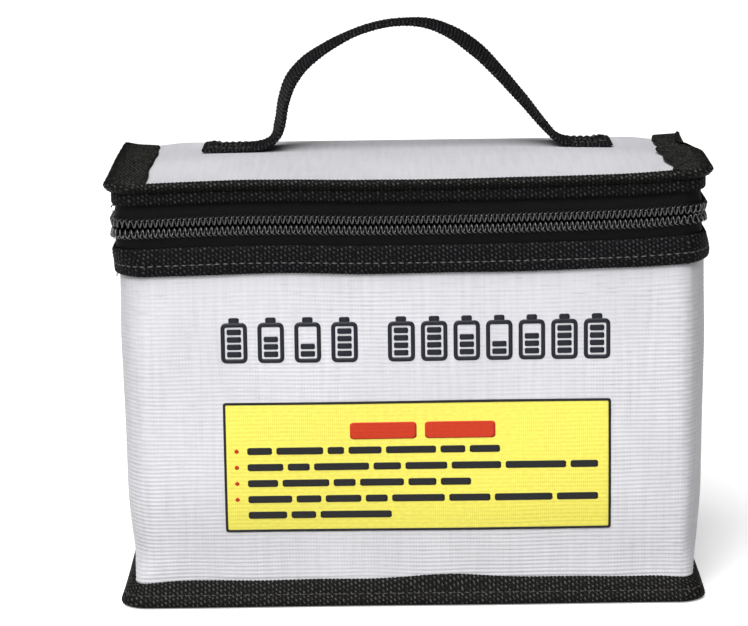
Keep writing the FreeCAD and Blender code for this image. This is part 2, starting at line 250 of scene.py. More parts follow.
def fullness(s, z):
    """How far the wall stands out from its CAD face, negative towards the foot."""
    # Under the webbing it ends short, at the back slowly
    fade = 9 + 45 * smooth((np.abs(wrapped(s)) - S_SEAM) / 15)
    swell = FULLNESS * smooth((z - 12) / 30) * smooth((134 - z) / fade)
    pull = PINCH * np.clip((PINCH_TOP - z) / (PINCH_TOP - FOOT_Z), 0, 1) ** 2.2
    return swell - pull


def end_path(front_edge, belly):
    """Soft plan of one end: a tight fold at front_edge, then a slope out to the belly.

    Returns distances from the middle of the front with the path's x, y and heading there.
    """
    a = np.linspace(0, S_HALF, 3001)
    slope = 2 * (HALF_X + belly - front_edge - FRONT_FOLD) / SLOPE_RUN
    fold_run = FRONT_FOLD * (math.pi / 2 - slope)
    heading = np.clip((a - front_edge) / fold_run, 0, 1) * (math.pi / 2 - slope)
    heading += np.clip((a - front_edge - fold_run) / SLOPE_RUN, 0, 1) * slope
    x = np.cumsum(np.cos(heading)) * a[1]
    y = np.cumsum(np.sin(heading)) * a[1] - HALF_Y
    return a, x, y, heading


LEFT_PATH = end_path(*LEFT_END)
RIGHT_PATH = end_path(*RIGHT_END)


def soft_frame(s, z):
    """Like wall_frame, with the ends' soft shape below the zip."""
    x, y, out_x, out_y = wall_frame(s)
    s = wrapped(s)
    a = np.abs(s)
    before_seam = 1 - smooth((a - S_SEAM + 34) / 30)
    below_zip = smooth((135 - z) / 10)
    above_foot = smooth((z - FOOT_Z + 1) / 14)
    share = before_seam * below_zip * above_foot
    side = np.where(s < 0, -1.0, 1.0)
    far, deep, heading = [
        np.where(s < 0, np.interp(a, LEFT_PATH[0], left), np.interp(a, RIGHT_PATH[0], right))
        for left, right in zip(LEFT_PATH[1:], RIGHT_PATH[1:])
    ]
    x, y = x + (side * far - x) * share, y + (deep - y) * share
    out_x = out_x + (side * np.sin(heading) - out_x) * share
    out_y = out_y + (-np.cos(heading) - out_y) * share
    size = np.hypot(out_x, out_y)
    return x, y, out_x / size, out_y / size


def place(s, u, z, soft=True):
    """Points u outside the wall at distance s round it."""
    x, y, out_x, out_y = soft_frame(s, z) if soft else wall_frame(s)
    if soft:
        u = u + fullness(s, z)
    px, py = x + out_x * u, y + out_y * u
    pz = z + (lift(x, y, z) if soft else 0.0)
    return together(px, py, pz)


def ribs(s, z):
    """Relief of the coated cloth: level ribs that wander and fade, more so near the foot."""
    wander = 0.28 * np.sin(s / 31 + 0.6) + 0.16 * np.sin(s / 9.0 + z / 7)
    wander = wander + (0.5 * np.sin(s / 11) + 0.3 * np.sin(s / 5.3 + 1)) * np.exp(-z / 16)
    strength = 0.75 + 0.25 * np.sin(s / 23 - z / 31)
    strength = strength + 0.3 * smooth((np.abs(s) - 70) / 25) + 0.5 * np.exp(-z / 22)
    below_webbing = smooth((LOWER_WEB[0] - 4.5 - z) / 2.5)
    return RIB_HEIGHT * strength * below_webbing * np.cos(2 * math.pi * (z + wander) / RIB)


def creases(s, z):
    """Soft folds of the wall: broad waves, short ones at the gathered foot, a crumple at the front folds."""
    broad = 0.3 * np.sin(s / 37 + z / 29) + 0.22 * np.sin(s / 19 - z / 15 + 2)
    gather = np.sin(s / 7.5 + 0.9 * np.sin(s / 19)) * bell((z - 12) / 9)
    near_corner = smooth((np.abs(np.abs(s) - 103) - 45) / -40)
    crumple = 0.16 * np.sin(z / 0.55 + s / 0.9 + 1.5 * np.sin(z / 4.1)) * bell((np.abs(s) - FOLD_S) / 3.2)
    crumple = crumple * smooth((LOWER_WEB[0] + 4 - z) / 4)
    return broad * smooth((120 - z) / 25) + gather * (0.18 + 0.4 * near_corner) + crumple


# ---------------------------------------------------------------- meshes


def steps(low, high, size):
    """Evenly spaced values from low to high, about size apart."""
    return np.linspace(low, high, max(2, int(round(abs(high - low) / size)) + 1))


def unit(vectors):
    """The vectors at length one."""
    return vectors / np.linalg.norm(vectors, axis=-1)[..., None]


def run_along(line):
    """Distance of each point from the line's start."""
    return np.concatenate([[0.0], np.cumsum(np.linalg.norm(np.diff(line, axis=0), axis=1))])


def sample(line, run, at):
    """The line at distances at. run holds the distances of its own points."""
    return np.stack([np.interp(at, run, column) for column in line.T], -1)


def grid_faces(rows, cols, wrap_rows=False, wrap_cols=False):
    """Quads of a grid of points, facing outwards where columns run to the right and rows upwards."""
    i, j = np.meshgrid(np.arange(rows if wrap_rows else rows - 1),
                       np.arange(cols if wrap_cols else cols - 1), indexing="ij")
    i2, j2 = (i + 1) % rows, (j + 1) % cols
    quads = np.stack([i * cols + j, i * cols + j2, i2 * cols + j2, i2 * cols + j], axis=-1)
    return quads.reshape(-1, 4).tolist()


def end_faces(rows, cols):
    """Faces that close the first and the last column of a grid of points."""
    return [[i * cols for i in range(rows)], [i * cols + cols - 1 for i in reversed(range(rows))]]


def joined(parts):
    """Several (points, faces, weave) as one."""
    points, faces, weave = [], [], []
    start = 0
    for own_points, own_faces, own_weave in parts:
        points.append(own_points.reshape(-1, 3))
        faces += [[start + k for k in face] for face in own_faces]
        weave.append(own_weave.reshape(-1, 2))
        start += len(points[-1])
    return np.concatenate(points), faces, np.concatenate(weave)


def make_piece(name, points, faces, weave, material, slot, thickness=0.0):
    """A smooth mesh object. weave holds each point's own place in the cloth, in millimetres."""
    mesh = bpy.data.meshes.new(name)
    mesh.from_pydata((points.reshape(-1, 3) * MM).tolist(), [], faces)
    mesh.polygons.foreach_set("use_smooth", [True] * len(mesh.polygons))
    store = mesh.attributes.new("weave", "FLOAT_VECTOR", "POINT")
    flat = np.zeros((len(mesh.vertices), 3), np.float32)
    flat[:, :weave.shape[-1]] = weave.reshape(-1, weave.shape[-1])
    store.data.foreach_set("vector", flat.ravel())
    mesh.update()
    piece = bpy.data.objects.new(name, mesh)
    bpy.context.scene.collection.objects.link(piece)
    mesh.materials.append(material)
    if thickness:
        shell = piece.modifiers.new("thickness", "SOLIDIFY")
        shell.thickness = thickness * MM
        shell.offset = -1.0
    return piece


def grid_piece(name, points, weave, material, slot, thickness=0.0, wrap_cols=False):
    """A sheet from a (rows, columns, 3) array of points."""
    rows, cols = points.shape[:2]
    faces = grid_faces(rows, cols, wrap_cols=wrap_cols)
    return make_piece(name, points, faces, weave, material, slot, thickness)


def dense_loop(section, size):
    """A closed (u, z) section with points about size apart, its outward normals and its length so far."""
    corners = np.array(section + section[:1], float)
    points = []
    for a, b in zip(corners[:-1], corners[1:]):
        count = max(1, int(round(np.linalg.norm(b - a) / size)))
        points += [a + (b - a) * k / count for k in range(count)]
    points = np.array(points)
    for _ in range(2):
        points = points * 0.5 + (np.roll(points, 1, 0) + np.roll(points, -1, 0)) * 0.25
    along = unit(np.roll(points, -1, 0) - np.roll(points, 1, 0))
    normals = np.stack([along[:, 1], -along[:, 0]], -1)
    length = np.cumsum(np.linalg.norm(points - np.roll(points, 1, 0), axis=1))
    return points, normals, length


def band(name, stations, section, material, slot, relief=None, shift=None, soft=True, closed=False, size=0.5):
    """A solid tape along the wall: a closed section, counter-clockwise with u to the right."""
    loop, normals, length = dense_loop(section, size)
    s = stations[None, :]
    u, z, t = loop[:, :1], loop[:, 1:], length[:, None]
    high = relief(s, t, u, z) if relief else 0.0
    u2, z2 = u + normals[:, :1] * high, z + normals[:, 1:] * high
    if shift:
        u2, z2 = shift(s, u2, z2)
    points = place(s, u2, z2, soft)
    rows, cols = points.shape[:2]
    faces = grid_faces(rows, cols, wrap_rows=True, wrap_cols=closed)
    if not closed:
        faces += end_faces(rows, cols)
    return make_piece(name, points, faces, together(s, t), material, slot)


def tubes(name, lines, radius, material, slot, sides=6):
    """Round threads along several lines. Each line is (points, reference), the reference never along it."""
    parts = []
    angles = np.arange(sides) * 2 * math.pi / sides
    for line, reference in lines:
        count = len(line)
        along = unit(np.gradient(line, axis=0))
        side = unit(np.cross(along, reference))
        up = np.cross(side, along)
        girth = np.ones(count) * radius
        girth[[0, -1]] *= 0.45
        ring = (line[:, None] + side[:, None] * (np.cos(angles) * girth[:, None])[..., None]
                + up[:, None] * (np.sin(angles) * girth[:, None])[..., None])
        faces = grid_faces(count, sides, wrap_cols=True)
        faces.append(list(reversed(range(sides))))
        faces.append([(count - 1) * sides + k for k in range(sides)])
        parts.append((ring, faces, together(run_along(line)[:, None], angles[None] * radius)))
    return make_piece(name, *joined(parts), material, slot)


def stitches(name, line, outward, material, length=2.1, gap=0.9, radius=0.24):
    """A row of raised stitches along a finely sampled line on a surface."""
    run = run_along(line)
    lines = []
    for start in np.arange(0.2, run[-1] - length, length + gap):
        at = start + length * np.linspace(0, 1, 5)
        normal = sample(outward, run, at)
        height = radius * (0.9 * np.sin(np.linspace(0, math.pi, 5)) - 0.15)
        lines.append((sample(line, run, at) + normal * height[:, None], normal))
    return tubes(name, lines, radius, material, "black_thread")


def wall_normal(s):
    """Outward normals of the wall's face."""
    out_x, out_y = wall_frame(s)[2:]
    return together(out_x, out_y, 0.0)


# ---------------------------------------------------------------- materials


class Nodes:
    """Short names for the nodes of one material."""

    def __init__(self, name):
        self.material = bpy.data.materials.new(name)
        self.material.use_nodes = True
        self.tree = self.material.node_tree
        self.shader = self.tree.nodes["Principled BSDF"]

    def add(self, kind, **values):
        """A node with its properties set; values named in_N go to its N-th input."""
        node = self.tree.nodes.new(kind)
        for key, value in values.items():
            if key.startswith("in_"):
                socket = node.inputs[int(key[3:])]
                if isinstance(value, bpy.types.NodeSocket):
                    self.tree.links.new(value, socket)
                else:
                    socket.default_value = value
            else:
                setattr(node, key, value)
        return node

    def math(self, operation, a, b=0.0, clamp=False):
        return self.add("ShaderNodeMath", operation=operation, in_0=a, in_1=b, use_clamp=clamp).outputs[0]

    def weave(self, scale=(1.0, 1.0, 1.0)):
        """The point's place in the cloth, in millimetres, stretched by scale."""
        place_ = self.add("ShaderNodeAttribute", attribute_name="weave").outputs["Vector"]
        return self.add("ShaderNodeVectorMath", operation="MULTIPLY", in_0=place_, in_1=scale).outputs[0]

    def here(self, scale=1000.0):
        """The point's place on the object, in millimetres."""
        place_ = self.add("ShaderNodeTexCoord").outputs["Object"]
        return self.add("ShaderNodeVectorMath", operation="SCALE", in_0=place_, in_3=scale).outputs[0]

    def noise(self, vector, scale=1.0, detail=3.0):
        return self.add("ShaderNodeTexNoise", in_0=vector, in_2=scale, in_3=detail).outputs[0]

    def mottle(self, across, up, detail=3.0):
        """Noise in the cloth, with its features per millimetre each way."""
        return self.noise(self.weave((across, up, 1.0)), 1.0, detail)

    def waves(self, vector, pitch, direction="X", distortion=0.0):
        """Even bands across one axis of the vector, pitch apart."""
        bands = self.add("ShaderNodeTexWave", bands_direction=direction, in_0=vector,
                         in_1=2 * math.pi / (20 * pitch), in_2=distortion)
        return bands.outputs["Fac"]

    def colour(self, amount, stops):
        """A colour ramp over amount: stops are (place, colour)."""
        ramp = self.add("ShaderNodeValToRGB", in_0=amount)
        elements = ramp.color_ramp.elements
        while len(elements) < len(stops):
            elements.new(0.5)
        for element, (at, rgb) in zip(elements, stops):
            element.position = at
            element.color = (*rgb, 1.0)
        return ramp.outputs[0]

    def set(self, **values):
        for key, value in values.items():
            socket = self.shader.inputs[key.replace("_", " ")]
            if isinstance(value, bpy.types.NodeSocket):
                self.tree.links.new(value, socket)
            else:
                socket.default_value = value

    def rough(self, amount, low, swing):
        """Roughness that starts at low and grows with amount."""
        self.set(Roughness=self.add("ShaderNodeMath", operation="MULTIPLY_ADD", in_0=amount, in_1=swing,
                                    in_2=low).outputs[0])

    def bump(self, height, distance, strength=1.0):
        node = self.add("ShaderNodeBump", in_0=strength, in_1=distance * MM)
        self.tree.links.new(height, node.inputs["Height"])
        self.set(Normal=node.outputs[0])


def shade(rgb, factor):
    """A colour made lighter or darker."""
    return tuple(min(1.0, c * factor) for c in rgb)


def coated_cloth(name, rgb, roughness=0.42, metallic=0.0):
    """Ribbed glass cloth under a smooth coat: painted shade in the grooves between the ribs, broken up in
    patches, upright threads and faint streaks.
    """
    n = Nodes(name)
    streaks = n.mottle(0.55, 0.035)
    patches = n.mottle(0.03, 0.03)
    grain = n.mottle(1.3, 2.2, 2.0)
    tone = n.math("ADD", n.math("MULTIPLY", streaks, 0.45), n.math("MULTIPLY", patches, 0.3))
    tone = n.math("ADD", tone, n.math("MULTIPLY", grain, 0.25))
    # Painted shade: narrow dark lines at the rib pitch darken the colour where the grooves between the ribs
    # lie, broken up by a noise mask.
    groove_shade = n.math("POWER", n.waves(n.weave(), RIB, "Y", 1.0), 5.0)
    broken = n.math("SUBTRACT", n.mottle(0.16, 0.7, 2.0), 0.42, True)
    tone = n.math("SUBTRACT", tone, n.math("MULTIPLY", groove_shade, n.math("MULTIPLY", broken, 0.9)))
    n.set(Base_Color=n.colour(tone, [(0.1, shade(rgb, 0.62)), (0.36, shade(rgb, 0.93)), (0.5, rgb),
                                     (0.7, shade(rgb, 1.1))]))
    n.rough(grain, roughness - 0.12, 0.25)
    threads = n.waves(n.weave(), 1.1, "X", 1.2)
    gate = n.math("MULTIPLY", n.mottle(0.12, 0.1, 1.0), 0.35)
    n.bump(n.math("ADD", n.math("MULTIPLY", threads, gate), n.math("MULTIPLY", grain, 0.5)), 0.1, 0.5)
    n.set(Metallic=metallic)
    return n.material


def printed_cloth(name, rgb, roughness=0.5):
    """Ink on the same ribbed cloth."""
    n = Nodes(name)
    wear = n.mottle(0.5, 0.9)
    n.set(Base_Color=n.colour(wear, [(0.3, shade(rgb, 0.93)), (0.55, rgb), (0.75, shade(rgb, 1.07))]))
    n.bump(n.waves(n.weave(), 0.75, "X", 0.6), 0.03, 0.5)
    n.set(Roughness=roughness, Specular_IOR_Level=0.2)
    return n.material


def woven_tape(name, rgb, roughness=0.62, highlight_gain=4.5, ridge=0.16):
    """Black polypropylene weave: fine relief over the modelled ribs, with a painted highlight on the fibres
    of its crests and painted shade between them.
    """
    n = Nodes(name)
    wales = n.waves(n.weave(), WALE, "X", 1.2)
    slant = n.waves(n.weave((1.0, 1.2, 1.0)), 1.05, "DIAGONAL", 2.2)
    fibres = n.mottle(0.8, 1.1)
    # Painted highlight and shade: the colour is up to eight times lighter on the crests of the weave and half
    # as light off them.
    crest = n.math("MULTIPLY", n.math("MULTIPLY", wales, slant), n.math("SUBTRACT", fibres, 0.3, True))
    painted_highlight = n.math("MULTIPLY", crest, highlight_gain, True)
    n.set(Base_Color=n.colour(painted_highlight, [(0.0, shade(rgb, 0.5)), (0.35, rgb), (1.0, shade(rgb, 8.0))]))
    n.rough(fibres, roughness - 0.15, 0.3)
    height = n.math("ADD", n.math("MULTIPLY", wales, 0.5), n.math("MULTIPLY", fibres, 0.8))
    n.bump(height, ridge, 0.8)
    n.set(Specular_IOR_Level=0.05)
    return n.material


def fine_tape(name, rgb):
    """The zip's thin tape."""
    n = Nodes(name)
    cross = n.math("MULTIPLY", n.waves(n.weave(), 0.6, "X"), n.waves(n.weave(), 0.6, "Y"))
    haze = n.mottle(0.2, 0.6)
    n.set(Base_Color=n.colour(haze, [(0.3, shade(rgb, 0.8)), (0.7, shade(rgb, 1.4))]))
    n.bump(cross, 0.08, 0.7)
    n.set(Roughness=0.7, Specular_IOR_Level=0.08)
    return n.material


def nylon(name, rgb, roughness=0.3):
    """Drawn nylon, semi-gloss with a faint mottle."""
    n = Nodes(name)
    mottle = n.noise(n.here(), 0.9)
    n.set(Base_Color=n.colour(mottle, [(0.35, shade(rgb, 0.8)), (0.65, shade(rgb, 1.3))]))
    n.rough(mottle, roughness - 0.1, 0.2)
    n.bump(mottle, 0.03, 0.4)
    n.set(Specular_IOR_Level=0.9)
    return n.material


def thread(name, rgb):
    """Twisted sewing thread, with painted highlight and shade along the twist."""
    n = Nodes(name)
    twist = n.waves(n.weave(), 0.5, "DIAGONAL")
    # Painted highlight and shade: the colour is lighter on the raised bands of the twist and darker between
    # them, following the bump.
    n.set(Base_Color=n.colour(twist, [(0.2, shade(rgb, 0.6)), (0.8, shade(rgb, 1.5))]))
    n.bump(twist, 0.06, 0.8)
    n.set(Roughness=0.55)
    return n.material


def plated(name, rgb, roughness, grain=(0.25, 0.25, 3.0)):
    """Plated metal with a fine brushed grain and soft handling marks."""
    n = Nodes(name)
    brushed = n.add("ShaderNodeVectorMath", operation="MULTIPLY", in_0=n.here(), in_1=grain).outputs[0]
    lines = n.noise(brushed, 2.5, 4.0)
    marks = n.noise(n.here(), 0.35)
    n.set(Base_Color=n.colour(marks, [(0.3, shade(rgb, 0.85)), (0.7, rgb)]))
    n.rough(lines, roughness - 0.1, 0.22)
    n.bump(lines, 0.02, 0.35)
    n.set(Metallic=1.0)
    return n.material


def studio_floor(name):
    """Pale paper floor."""
    n = Nodes(name)
    mottle = n.noise(n.here(), 0.004)
    n.set(Base_Color=n.colour(mottle, [(0.3, (0.9, 0.9, 0.9)), (0.7, (0.94, 0.94, 0.94))]))
    n.set(Roughness=0.9, Specular_IOR_Level=0.1, Emission_Color=(1.0, 1.0, 1.0, 1.0),
          Emission_Strength=FLOOR_GLOW)
    return n.material


SILVER = coated_cloth("silver_cloth", (0.685, 0.677, 0.71), roughness=0.42, metallic=0.15)
LINING_CLOTH = coated_cloth("lining_cloth", (0.5, 0.5, 0.52), roughness=0.75)
BINDING = woven_tape("black_binding", (0.0095, 0.0094, 0.0088))
WEBBING = woven_tape("black_webbing", (0.0072, 0.0069, 0.0076), highlight_gain=4.2)
ZIP_TAPE = fine_tape("zip_tape", (0.0026, 0.0026, 0.0026))
COIL = nylon("zip_coil", (0.014, 0.013, 0.014), 0.24)
THREAD = thread("black_thread", (0.07, 0.07, 0.07))
DARK_THREAD = thread("dark_thread", (0.022, 0.021, 0.018))
YELLOW = printed_cloth("label_yellow", (1.0, 0.90, 0.15), 0.42)
BLACK_INK = printed_cloth("label_black", (0.012, 0.012, 0.013))
RED_INK = printed_cloth("label_red", (0.62, 0.05, 0.02))
DARK_INK = printed_cloth("dark_print", (0.011, 0.012, 0.019), 0.4)
BRIGHT = plated("bright_metal", (0.78, 0.77, 0.79), 0.27)
DARK_METAL = plated("slider_body", (0.22, 0.21, 0.23), 0.36, (1.0, 1.0, 1.0))


# ---------------------------------------------------------------- cloth of the body and lid


def wall_grid(s, z):
    """Points and weave of a piece of wall cloth."""
    s, z = s[None, :], z[:, None]
    return place(s, ribs(s, z) + creases(s, z), z), together(s, z)


def make_wrap():
    """The front cloth that wraps both ends."""
    points, weave = wall_grid(steps(-S_SEAM, S_SEAM, 2.9), steps(CLOTH_LOW, WALL_TOP, RIB / 4))
    piece = grid_piece("wrap_cloth", points, weave, SILVER, "silver_cloth", CLOTH)
    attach(piece, "bag_body")
    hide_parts("wrap_panel")


def make_back_and_lid():
    """The back cloth, which turns over the fold and is the lid too."""
    s = steps(S_SEAM, 2 * S_HALF - S_SEAM, 2.6)
    x, y, out_x, out_y = wall_frame(s)
    top = LID_TOP - ROLL_R
    rows, runs = [], []
    for z in steps(CLOTH_LOW, top, RIB / 4):
        rows.append(wall_grid(s, np.array([z]))[0][0])
        runs.append(z)
    for angle in np.linspace(0.15, math.pi / 2, 7):
        reach, height = ROLL_R * (math.cos(angle) - 1), top + ROLL_R * math.sin(angle)
        px, py = x + out_x * reach, y + out_y * reach
        rows.append(np.stack([px, py, height + lift(px, py, height)], -1))
        runs.append(top + ROLL_R * angle)
    start_x, start_y = x - out_x * ROLL_R, y - out_y * ROLL_R
    fold_run = runs[-1]
    for t in steps(0, 1, 1 / 72)[1:]:
        py = start_y * (1 - 2 * t)
        level = smooth(t * 12)
        rolled = LID_TOP + lift(start_x, py, LID_TOP)
        rows.append(np.stack([start_x, py, lid_height(start_x, py) * level + rolled * (1 - level)], -1))
        runs.append(fold_run + 2 * (HALF_Y - ROLL_R) * t)
    points = np.array(rows)
    weave = together(s[None, :], np.array(runs)[:, None])
    piece = grid_piece("back_and_lid_cloth", points, weave, SILVER, "silver_cloth", CLOTH)
    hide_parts("back_panel", "lid_panel")
    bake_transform(piece)


def rounded_plate(reach, radius, size):
    """(x, y) grid of a level sheet with rounded corners, its columns along x."""
    half_x, half_y = HALF_X + reach, HALF_Y + reach
    x = half_x * np.sin(steps(-math.pi / 2, math.pi / 2, size * math.pi / (2 * half_x)))
    over = np.clip(np.abs(x) - (half_x - radius), 0, radius)
    edge_y = half_y - radius + np.sqrt(radius ** 2 - over ** 2)
    t = steps(-1, 1, size / half_y)
    return np.broadcast_to(x[None, :], (len(t), len(x))), edge_y[None, :] * t[:, None]


def make_plate(name, node, reach, height, material, slot, thickness, body):
    """A level sheet of cloth. height gives its z at (x, y)."""
    x, y = rounded_plate(reach, CORNER + reach, 3.0)
    points = np.stack([x, y, height(x, y)], -1)
    piece = grid_piece(name, points, np.stack([x, y], -1), material, slot, thickness)
    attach(piece, body)
    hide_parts(node)


def make_linings():
    """The cloth seen inside the open bag, and the base."""
    s = np.linspace(-S_HALF, S_HALF, 200, endpoint=False)[None, :]
    z = steps(LINING_LOW, WALL_TOP, 1.5)[:, None]
    points = place(s, -CLOTH - 0.3 + creases(s, z) * 0.8, z)
    piece = grid_piece("body_lining_cloth", points, together(s, z), LINING_CLOTH, "lining_cloth", LINING,
                       True)
    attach(piece, "bag_body")
    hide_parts("body_lining")

    def floor_height(x, y):
        return 3.5 + 0.35 * np.sin(x / 23 + 1) * np.sin(y / 17)

    def base_height(x, y):
        return 0 * x + 2.2

    def lid_under(x, y):
        return lid_height(x, y) - CLOTH - 0.2

    make_plate("base_lining_cloth", "base_lining", -6.3, floor_height, LINING_CLOTH, "lining_cloth", LINING,
               "bag_body")
    make_plate("base_cloth", "base_panel", -1.8, base_height, SILVER, "silver_cloth", CLOTH, "bag_body")
    make_plate("lid_lining_cloth", "lid_lining", -3.4, lid_under, LINING_CLOTH, "lining_cloth", LINING, "lid")


# ---------------------------------------------------------------- bindings and webbing


def rib_relief(s, t, height=0.25):
    """Ribs straight across a tape."""
    return height * np.abs(np.sin(math.pi * s / WALE)) + 0 * t


def lump_relief(s, t, height=0.36):
    """Basket weave: lumps in rows that step by half a pitch."""
    stepped = t + WALE / 2 * np.floor(s / WALE)
    return height * np.sin(math.pi * s / WALE) ** 2 * np.sin(math.pi * stepped / 1.3) ** 2


def sewn_relief(s, t, z, stitch_z, lump, rib, groove):
    """Lumps above a row of stitches and ribs below it, with a groove where the stitches pull it in."""
    above = smooth((z - stitch_z) / 0.5)
    dip = -groove * bell((z - stitch_z) / 0.5)
    return lump_relief(s, t, lump) * above + rib_relief(s, t, rib) * (1 - above) + dip


def saw_edge(s, height):
    """The small teeth that a tape's ribs make along its edge."""
    return height * np.cos(2 * math.pi * s / WALE)


def foot_wave(x):
    """The base binding's top edge rises under the middle of the front and dips to the corners."""
    return 1.5 * bell((x - 14) / 20) - 0.9 * smooth((np.abs(x) - 86) / 16) + 0.15 * np.sin(x / 7)


def make_base_binding():
    """The folded tape round the foot, ribbed below its stitches and basket-woven above them."""
    low = extent("base_binding")[1][0] - HALF_X
    section = [(-9.0, 0.0), (1.3, 0.0), (low, 0.6), (low + 0.1, 1.8), (0.9, 5.2), (-1.2, FOOT_Z - 0.3),
               (-2.2, FOOT_Z), (-3.4, FOOT_Z - 0.4), (-3.5, 2.5), (-1.6, 2.4), (-1.6, 0.9), (-9.0, 0.9)]
    stitch_z = 4.7

    def relief(s, t, u, z):
        outer = smooth((u + 2.6) / 0.8) * smooth((z - 0.2) / 0.8)
        return outer * sewn_relief(s, t, z, stitch_z, 0.36, 0.25, 0.22)

    def shift(s, u, z):
        x, y = wall_frame(s)[:2]
        wave = foot_wave(x) * smooth((-y - 30) / 20) + 0.3 * np.sin(s / 13) * smooth((y + 50) / 20)
        edge = saw_edge(s, 0.18) * smooth((z - FOOT_Z + 1.2) / 1.0)
        return u + 0.2 * np.sin(s / 17) * smooth(u), z + (wave + edge) * smooth((z - 5) / 4.5)

    stations = np.linspace(-S_HALF, S_HALF, int(2 * S_HALF / 0.42), endpoint=False)
    piece = band("base_binding_tape", stations, section, BINDING, "black_binding", relief, shift, False, True,
                 0.55)
    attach(piece, "bag_body")
    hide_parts("base_binding")
    s = steps(-S_HALF, S_HALF, 0.8)
    line = place(s, 1.2, stitch_z, soft=False)
    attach(stitches("base_binding_stitches", line, wall_normal(s), DARK_THREAD), "bag_body")


def make_side_bindings():
    """Upright tapes over the rear seams and the zip's ends."""
    bottom, top = FOOT_Z - 1.0, UPPER_WEB[1] + 0.6
    z = steps(bottom, top, WALE / 4)
    for side, name in ((-1, "left"), (1, "right")):
        edges = [(ZIP_END_Y, 0.1), (ZIP_END_Y + 0.3, WEB - 0.2), (ZIP_END_Y + 1.0, WEB),
                 (END_Y + 0.3, WEB), (END_Y + 1.0, WEB - 0.2), (END_Y + 1.2, 0.1)]
        loop, normals, length = dense_loop(edges, 0.55)
        y, u, t = loop[None, :, 0], loop[None, :, 1], length[None, :]
        level = z[:, None]
        high = rib_relief(level, t, 0.25) * smooth(u / 0.8)
        saw = saw_edge(level, 0.16) * np.where(normals[None, :, 0] > 0, 1, -1)
        y2 = y + normals[None, :, 0] * high + saw * smooth((np.abs(normals[None, :, 0]) - 0.5) / 0.4)
        s = side * (S_END + END_Y + y2)
        points = place(s, u + normals[None, :, 1] * high + 0.1, level)
        rows, cols = points.shape[:2]
        faces = grid_faces(rows, cols, wrap_cols=True)
        faces += [list(range(cols)), [(rows - 1) * cols + k for k in reversed(range(cols))]]
        if side > 0:
            faces = [face[::-1] for face in faces]
        weave = together(level, t)
        piece = make_piece(f"side_binding_{name}", points, faces, weave, BINDING, "black_binding")
        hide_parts(f"back_binding_{name}", f"lid_binding_{name}")
        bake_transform(piece)


def make_lower_webbing():
    """The webbing below the zip: basket weave above its stitches, ribs below them."""
    low, high = LOWER_WEB
    out = TAPE + WEB
    stitch_z = low + 3.8
    section = [(0.0, low), (WEB, low), (WEB + 0.1, low + 0.5), (out, LAP), (out, high - 0.3),
               (out - 0.4, high), (TAPE, high), (TAPE, LAP), (0.0, LAP - 0.5)]

    def relief(s, t, u, z):
        return smooth((u - 0.5) / 0.6) * sewn_relief(s, t, z, stitch_z, 0.34, 0.28, 0.25)

    def shift(s, u, z):
        saw = saw_edge(s, 0.22) * smooth((z - high + 0.7) / 0.6)
        return u, z + saw + 0.12 * np.sin(s / 9) * smooth((low + 2 - z) / 2)

    piece = band("lower_webbing_tape", steps(-S_ZIP, S_ZIP, WALE / 4), section, WEBBING, "black_webbing",
                 relief, shift, size=0.45)
    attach(piece, "bag_body")
    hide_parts("lower_webbing")
    s = steps(-S_ZIP, S_ZIP, 0.8)
    line = place(s, WEB + 0.35, stitch_z)
    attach(stitches("lower_webbing_stitches", line, wall_normal(s), THREAD), "bag_body")


def make_upper_webbing():
    """The narrow webbing between the zip and the rim."""
    low, high = UPPER_WEB
    out = TAPE + WEB
    section = [(TAPE, low), (out - 0.3, low), (out, low + 0.5), (out, high + 0.4), (TAPE, high + 0.4)]

    def relief(s, t, u, z):
        return rib_relief(s, t, 0.26) * smooth((u - TAPE - 0.4) / 0.5)

    def shift(s, u, z):
        saw = saw_edge(s, 0.25) * smooth((low + 0.8 - z) / 0.6)
        return u - 0.5 * smooth((np.abs(s) - 98) / 14), z + saw

    piece = band("upper_webbing_tape", steps(-S_ZIP, S_ZIP, WALE / 4), section, WEBBING, "black_webbing",
                 relief, shift, size=0.5)
    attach(piece, "lid")
    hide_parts("upper_webbing")


def make_rim_binding():
    """The tape round the lid's rim, which stands up as a soft lip. Its far right end curls up."""
    top = LID_TOP + WEB
    out = TAPE + WEB
    section = [(-9.5, LID_TOP + 0.1), (TAPE, LID_TOP + 0.1), (TAPE, UPPER_WEB[1]), (out - 0.3, UPPER_WEB[1]),
               (3.6, 154.5), (4.7, 155.6), (4.8, 156.5), (4.1, 157.3), (2.6, 157.1), (-1.0, top + 0.5),
               (-9.2, top), (-9.8, top - 0.7)]

    def relief(s, t, u, z):
        on_top = smooth((z - LID_TOP - 0.9) / 0.5)
        in_front = smooth((u - out) / 0.5) * smooth((LID_TOP + 0.9 - z) / 0.5)
        lip = smooth((u - 1.0) / 1.5)
        return (on_top + in_front) * (lump_relief(s, t, 0.4) * lip + rib_relief(s, t, 0.26) * (1 - lip))

    def shift(s, u, z):
        y = wall_frame(s)[1]
        saw = saw_edge(s, 0.22) * smooth((z - 156.6) / 0.5)
        right = smooth((s - S_END) / 6)
        curl = smooth((y - 2) / 38) * right
        inner = smooth((-6.5 - u) / 3)
        edge = (0.9 * np.sin(s / 8.5) + 0.5 * np.sin(s / 3.9 + 1)) * (0.35 + 0.65 * right) * inner
        step = 1.8 * bell((y - 4) / 7) * right
        notch = 5.0 * smooth((y + 12) / 20) * (1 - smooth((y - 15) / 35)) * right
        u2 = u - (3.6 * curl + notch) * smooth(u / 4) + edge - step * inner
        z2 = z + saw + 1.4 * curl ** 2 * smooth((z - LID_TOP - 0.5) / 1.2) + 0.5 * step
        return u2, z2

    piece = band("rim_binding_tape", steps(-S_RIM, S_RIM, 0.42), section, BINDING, "black_binding", relief,
                 shift, size=0.6)
    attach(piece, "lid")
    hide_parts("lid_rim_binding")


# ---------------------------------------------------------------- zip


